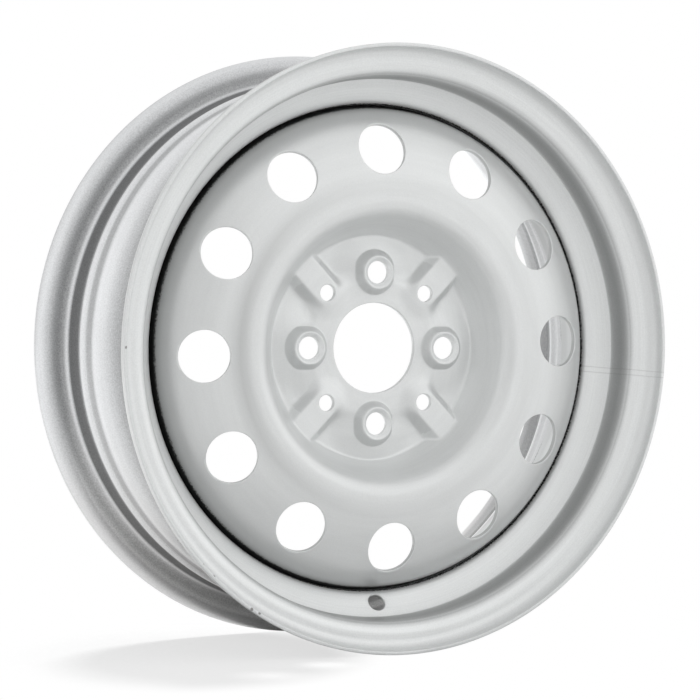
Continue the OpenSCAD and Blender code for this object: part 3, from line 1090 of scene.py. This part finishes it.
def pressedFace(side, holes, fine):
    # triangles of one face, with rings of points that follow every hole
    turns = np.linspace(0, 2 * math.pi, discMesh["segments"], endpoint=False)
    unit = np.stack([np.sin(turns), np.cos(turns)], 1)
    radii, outer = ringRadii(side, fine)
    points = np.concatenate([unit * r for r in radii])
    rounding = disc["edgeRounding"]
    keep = np.ones(len(points), bool)
    height = discHeight(points[:, 0], points[:, 1], side)
    solid = np.stack([points[:, 0], height, points[:, 1]], 1)
    extra, loops = [], []
    for hole in holes:
        gap = solid - hole["centre"]
        gap = gap - np.outer(gap @ hole["axis"], hole["axis"])
        spread = discMesh["rings"][hole["kind"]]
        dense = hole
        if side > 0 and hole["kind"] == "bolt":
            spread = np.arange(*discMesh["bossRings"])
            dense = dict(hole, count=discMesh["bossSides"])
        reach = hole["radius"] + rounding + spread[-1] + discMesh["ringClear"]
        keep &= np.linalg.norm(gap, axis=1) >= reach
        loops.append(holeRing(hole, hole["radius"] + rounding, side))
        for s in spread:
            extra.append(holeRing(dense, hole["radius"] + rounding + s, side)[:, [0, 2]])
        if side > 0 and hole["kind"] == "pilot":
            inner, outerEnd, rowStep = discMesh["padRows"]
            low, high, columnStep = discMesh["padColumns"]
            clearA, clearB = discMesh["padClear"]
            along, across = gap @ hole["out"], np.abs(gap @ hole["across"])
            keep &= ~((along > inner - clearA) & (along < outerEnd + clearA)
                      & (across > low - clearB) & (across < high + clearB))
            flank = np.array([(a, s * b) for a in np.arange(inner, outerEnd + 0.1, rowStep)
                              for b in np.arange(low, high + 0.1, columnStep) for s in (-1, 1)])
            rows = hole["centre"] + np.outer(flank[:, 0], hole["out"]) + np.outer(flank[:, 1], hole["across"])
            extra.append(rows[:, [0, 2]])
    bore = unit * (disc["boreRadius"] + rounding)
    rim = unit * outer
    rings = [bore, rim] + [loop[:, [0, 2]] for loop in loops]
    flat, edges, starts = [], [], []
    for ring in rings:
        first = len(flat)
        starts.append((first, len(ring)))
        flat += [tuple(p) for p in ring]
        edges += [(first + k, first + (k + 1) % len(ring)) for k in range(len(ring))]
    for block in [points[keep]] + extra:
        flat += [tuple(p) for p in block]
    made = delaunay_2d_cdt([Vector(p) for p in flat], edges, [], 0, discMesh["merge"], True)
    spots = np.array([tuple(v) for v in made[0]])
    tris = np.array(made[2], int)
    back = {}
    for new, old in enumerate(made[3]):
        for o in old:
            back[o] = new
    y = discHeight(spots[:, 0], spots[:, 1], side)
    face = np.stack([spots[:, 0], y, spots[:, 1]], 1)
    middle = face[tris].mean(1)
    inside = np.hypot(middle[:, 0], middle[:, 2]) < disc["boreRadius"] + rounding - discMesh["boreClear"]
    for hole in holes:
        gap = middle - hole["centre"]
        gap = gap - np.outer(gap @ hole["axis"], hole["axis"])
        inside |= np.linalg.norm(gap, axis=1) < hole["radius"] + rounding - discMesh["holeClear"]
    loopIds = [[back[first + k] for k in range(size)] for first, size in starts]
    for loop in loopIds[:1] + loopIds[2:]:
        inside |= np.isin(tris, loop).all(1)    # ears between neighbours on a hole's edge
    return face, tris[~inside], loopIds


# painted shade and highlights of the disc's paint, darkest towards the joint with the rim; radius, reach and
# place in mm, slopes in degrees
discShadeTone = {
    "radius": [
        (0, 1.0), (60, 1.02), (74, 1.04), (80, 0.96), (90, 1.0), (120, 1.02), (134, 0.99), (142, 0.97),
        (148, 0.92), (152, 0.76), (154, 0.58), (156, 0.3),
    ],
    "flankDepth": 0.12,                # painted shade on the flanks of bosses and pads
    "flankSlope": (16.0, 42.0),
    "flankReach": 68.0,
    "flankStart": 10.0,                # from a bolt's middle
    "seatGain": 1.06,                  # painted highlight on the seats
    "seatReach": 9.4,
    "ventReach": 0.4,
    "ventEdge": (0.9, 1.12),           # rounded edges of the vents catch the light: tilt and tone
    "wallTilt": 0.6,                   # painted shade on the vents' walls, darkest on their outer sides
    "wallWay": (-0.6, 0.6),
    "wallTone": (0.7, 0.95),
    "ringRadius": 105.5,               # painted shade in a thin ring beside the hat's edge, deepest on the left
    "ringWidth": 6.0,
    "ringDepth": (0.06, 0.22),
    "skirtEnd": (16.0, 0.9),           # outboard and tone
    "skirtRadius": 150.0,
}


def paintDiscShade(mesh):
    # painted shade and highlights: the front face and the skirt's outer face take the tone of their radius
    place, normal = pointsOf(mesh)
    radius = np.hypot(place[:, 0], place[:, 2])
    clock = np.arctan2(place[:, 0], place[:, 2])
    outward = (place[:, 0] * normal[:, 0] + place[:, 2] * normal[:, 2]) / radius
    tilt = np.abs(normal[:, 1])
    tones = np.interp(radius / mm, *zip(*discShadeTone["radius"]))

    def fromNearest(first, count, circle):
        # distance in plan from the nearest of the holes on a circle
        pitch = 2 * math.pi / count
        turn = (clock - math.radians(first) + pitch / 2) % pitch - pitch / 2
        return np.hypot(radius * np.sin(turn), radius * np.cos(turn) - circle * mm)

    start, end = discShadeTone["flankSlope"]
    slope = np.degrees(np.arccos(np.clip(-normal[:, 1], -1, 1)))
    steep = np.clip((slope - start) / (end - start), 0, 1)
    bolt = fromNearest(0.0, 4, disc["boltCircle"] / 2)
    flanks = (radius < discShadeTone["flankReach"] * mm) & (bolt > discShadeTone["flankStart"] * mm)
    # painted shade on the steep flanks of bosses and pads
    tones[flanks] *= (1 - discShadeTone["flankDepth"] * eased(steep))[flanks]
    # painted highlight on the seats
    tones[bolt < discShadeTone["seatReach"] * mm] *= discShadeTone["seatGain"]
    gap = fromNearest(disc["ventTurn"], disc["ventCount"], disc["ventRadius"])
    vents = gap < (disc["ventWidth"] / 2 + discShadeTone["ventReach"]) * mm
    edgeTilt, edgeTone = discShadeTone["ventEdge"]
    tones[vents & (tilt < edgeTilt)] = edgeTone
    # painted shade in a thin ring beside the hat's edge, deepest on the left
    least, more = discShadeTone["ringDepth"]
    left = np.maximum(-place[:, 0] / radius, 0) ** 2
    ring = np.exp(-((radius / mm - discShadeTone["ringRadius"]) / discShadeTone["ringWidth"]) ** 2)
    tones *= 1 - (least + more * left) * ring
    tones[0.5 * outward - normal[:, 1] < 0] = 1.0    # the back
    skirtEnd, endTone = discShadeTone["skirtEnd"]
    tones[place[:, 1] > -skirtEnd * mm] = endTone
    # painted shade on the vents' walls, darkest on their outer sides
    walls = vents & (tilt < discShadeTone["wallTilt"])
    tones[walls] = np.interp(outward, discShadeTone["wallWay"], discShadeTone["wallTone"])[walls]
    # painted shade on the skirt's inner face, which is seen through the vents
    skirt = (outward < -0.5) & (radius > discShadeTone["skirtRadius"] * mm)
    tones[skirt] *= shadeGain("ledge", place[:, 2] / radius)[skirt]
    mesh.attributes.new("tone", "FLOAT", "POINT").data.foreach_set("value", tones)


def makeDisc():
    holes = discHoles()
    places, faces = [], []

    def addPlaces(rows):
        first = len(places)
        places.extend((x * mm, -y * mm, z * mm) for x, y, z in rows)
        return list(range(first, len(places)))

    def bridge(low, high):
        size = len(low)
        for k in range(size):
            faces.append((low[k], low[(k + 1) % size], high[(k + 1) % size], high[k]))

    sides = {}
    for side, fine in ((1, 1.0), (-1, discMesh["backFine"])):
        face, tris, loops = pressedFace(side, holes, fine)
        ids = addPlaces(face)
        for a, b, c in tris:
            faces.append((ids[a], ids[b], ids[c]) if side > 0 else (ids[c], ids[b], ids[a]))
        sides[side] = [[ids[k] for k in loop] for loop in loops]
        print("   disc face", side, len(tris), "triangles")

    rounding = disc["edgeRounding"]
    bevel = [(1 - math.sin(a), 1 - math.cos(a)) for a in np.radians([30, 60, 90])]
    # walls of the holes and of the bore, with rounded edges on both faces
    bore = {"centre": np.array([0, disc["hubLevel"], 0]), "axis": np.array([0, 1.0, 0]),
            "across": np.array([0, 0, 1.0]), "out": np.array([1.0, 0, 0]), "radius": disc["boreRadius"],
            "count": discMesh["segments"]}
    for number, hole in enumerate([bore] + holes):
        slot = 0 if number == 0 else number + 1
        chain = [sides[1][slot]]
        rowsBack = []
        for side in (1, -1):
            edge = holeRing(hole, hole["radius"] + rounding, side)
            gap = edge - hole["centre"]
            axial = gap @ hole["axis"]
            flat = gap - np.outer(axial, hole["axis"])
            flat = flat / np.linalg.norm(flat, axis=1)[:, None]
            for wide, deep in bevel:
                ring = (hole["centre"] + flat * (hole["radius"] + rounding * wide)
                        + np.outer(axial - side * rounding * deep, hole["axis"]))
                if side > 0:
                    chain.append(addPlaces(ring))
                else:
                    rowsBack.append(ring)
        for ring in rowsBack[::-1]:
            chain.append(addPlaces(ring))
        chain.append(sides[-1][slot])
        for low, high in zip(chain, chain[1:]):
            bridge(low, high)
    # shoulder and skirt, swept round from the last ring of the front to the last ring of the back
    tail = discLine[seam:]
    keepRows = [0]
    for k in range(1, len(tail)):
        turned = math.degrees(math.acos(min(1.0, float(tail[k, 2:] @ tail[keepRows[-1], 2:]))))
        moved = np.linalg.norm(tail[k, :2] - tail[keepRows[-1], :2])
        far = turned > discMesh["shoulderTurn"] or moved > discMesh["shoulderStep"]
        if far or k == len(tail) - 1:
            keepRows.append(k)
    tail = tail[keepRows]
    half = disc["sheet"] / 2
    last = tail[-1]
    way = np.array([last[3], -last[2]])
    outline = [row[:2] + row[2:] * half for row in tail[1:-1]]
    outline += roundedEdge(last[:2], last[2:], way, half, rounding)
    outline += [row[:2] - row[2:] * half for row in tail[1:-1][::-1]]
    turns = np.linspace(0, 2 * math.pi, discMesh["segments"], endpoint=False)
    chain = [sides[1][1]]
    for r, y in outline:
        chain.append(addPlaces(np.stack([r * np.sin(turns), np.full_like(turns, y), r * np.cos(turns)], 1)))
    chain.append(sides[-1][1])
    for low, high in zip(chain, chain[1:]):
        bridge(low, high)
    mesh = bpy.data.meshes.new("pressed_disc")
    mesh.from_pydata(places, [], faces)
    settle(mesh)
    mesh.polygons.foreach_set("use_smooth", [True] * len(mesh.polygons))
    mesh.materials.append(finishes["disc"])
    paintDiscShade(mesh)
    piece = bpy.data.objects.new("pressed_disc", mesh)
    scene.collection.objects.link(piece)
    return piece


# fillet welds behind the skirt's edge
welds = {
    "count": 8,
    "startClock": 68.0,
    "length": 22.0,
    "leg": 3.0,
    "corner": (157.5, 8.0),
    "ripples": 26.0,
    "rippleDepth": 0.10,
    "stations": 120,
    "sectionPoints": 14,
    "endPower": 14.0,      # how late a bead tapers, and how small it ends
    "endSize": 0.02,
    "sharpAngle": 60.0,
}


def weldTree():
    tree, given, put = newTree(
        "GeometryNodeTree", "layWelds",
        [("Section", "NodeSocketGeometry", None), ("Section Points", "NodeSocketInt", 14),
         ("Stations", "NodeSocketInt", 120), ("Count", "NodeSocketInt", 8),
         ("Start", "NodeSocketFloat", 0.0), ("Length", "NodeSocketFloat", 0.3),
         ("Corner Radius", "NodeSocketFloat", 0.15), ("Corner Outboard", "NodeSocketFloat", 0.0),
         ("Ripples", "NodeSocketFloat", 20.0), ("Ripple Depth", "NodeSocketFloat", 0.1),
         ("Finish", "NodeSocketMaterial", None)],
        [("Piece", "NodeSocketGeometry")])
    asked = given.outputs
    mesh, offR, offY, turn, share = sweptGrid(tree, given, asked["Section Points"], asked["Stations"],
                                              asked["Start"], asked["Length"])
    wave = mathOf(tree, "ABSOLUTE", mathOf(tree, "SINE", mathOf(
        tree, "MULTIPLY", share, mathOf(tree, "MULTIPLY", asked["Ripples"], math.pi))))
    ripple = mathOf(tree, "MULTIPLY_ADD", wave, asked["Ripple Depth"],
                    mathOf(tree, "SUBTRACT", 1.0, asked["Ripple Depth"]))
    # the bead runs out round at both ends
    middle = mathOf(tree, "ABSOLUTE", mathOf(tree, "MULTIPLY_ADD", share, 2.0, -1.0))
    fall = mathOf(tree, "POWER", middle, welds["endPower"])
    taper = mathOf(tree, "SQRT", mathOf(tree, "SUBTRACT", 1.0, fall))
    size = mathOf(tree, "MULTIPLY", ripple, mathOf(tree, "MAXIMUM", taper, welds["endSize"]))
    radius = mathOf(tree, "MULTIPLY_ADD", offR, size, asked["Corner Radius"])
    outboard = mathOf(tree, "MULTIPLY_ADD", offY, size, asked["Corner Outboard"])
    bead = placeGrid(tree, mesh, radius, outboard, turn)
    spots = tree.nodes.new("GeometryNodeMeshLine")
    tree.links.new(asked["Count"], spots.inputs["Count"])
    spots.inputs["Offset"].default_value = (0, 0, 0)
    index = tree.nodes.new("GeometryNodeInputIndex").outputs[0]
    euler = tree.nodes.new("ShaderNodeCombineXYZ")
    step = mathOf(tree, "DIVIDE", 2 * math.pi, asked["Count"])
    tree.links.new(mathOf(tree, "MULTIPLY", index, step), euler.inputs[1])
    spread = tree.nodes.new("GeometryNodeInstanceOnPoints")
    tree.links.new(spots.outputs[0], spread.inputs["Points"])
    tree.links.new(bead, spread.inputs["Instance"])
    tree.links.new(euler.outputs[0], spread.inputs["Rotation"])
    closeTree(tree, spread.outputs[0], asked["Finish"], put)
    return tree


def makeWelds():
    leg = welds["leg"]
    arc = [(-leg * math.sin(a), -leg * math.cos(a))
           for a in np.linspace(0, math.pi / 2, welds["sectionPoints"] - 1)]
    points = arc + [(0.0, 0.0)]
    section = sectionMesh("weldSection", points, [1.0] * len(points))
    beads = runTree(weldTree(), section, "weld_bead_group", {
        "Section Points": len(points), "Stations": welds["stations"], "Count": welds["count"],
        "Start": math.radians(welds["startClock"]), "Length": math.radians(welds["length"]),
        "Corner Radius": welds["corner"][0] * mm, "Corner Outboard": welds["corner"][1] * mm,
        "Ripples": welds["ripples"], "Ripple Depth": welds["rippleDepth"], "Finish": finishes["weld"]})
    work = bmesh.new()
    work.from_mesh(beads.data)
    bmesh.ops.holes_fill(work, edges=work.edges)
    work.to_mesh(beads.data)
    work.free()
    settle(beads.data)
    beads.data.set_sharp_from_angle(angle=math.radians(welds["sharpAngle"]))
    return beads


rimPiece = makeRim()
discPiece = makeDisc()
weldPiece = makeWelds()
for piece, node, slot in ((rimPiece, "rim", "silver_paint"), (discPiece, "disc", "silver_paint"),
                          (weldPiece, "weld_beads", "painted_weld")):
    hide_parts(node)
    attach(piece, "root")
print("pieces made")
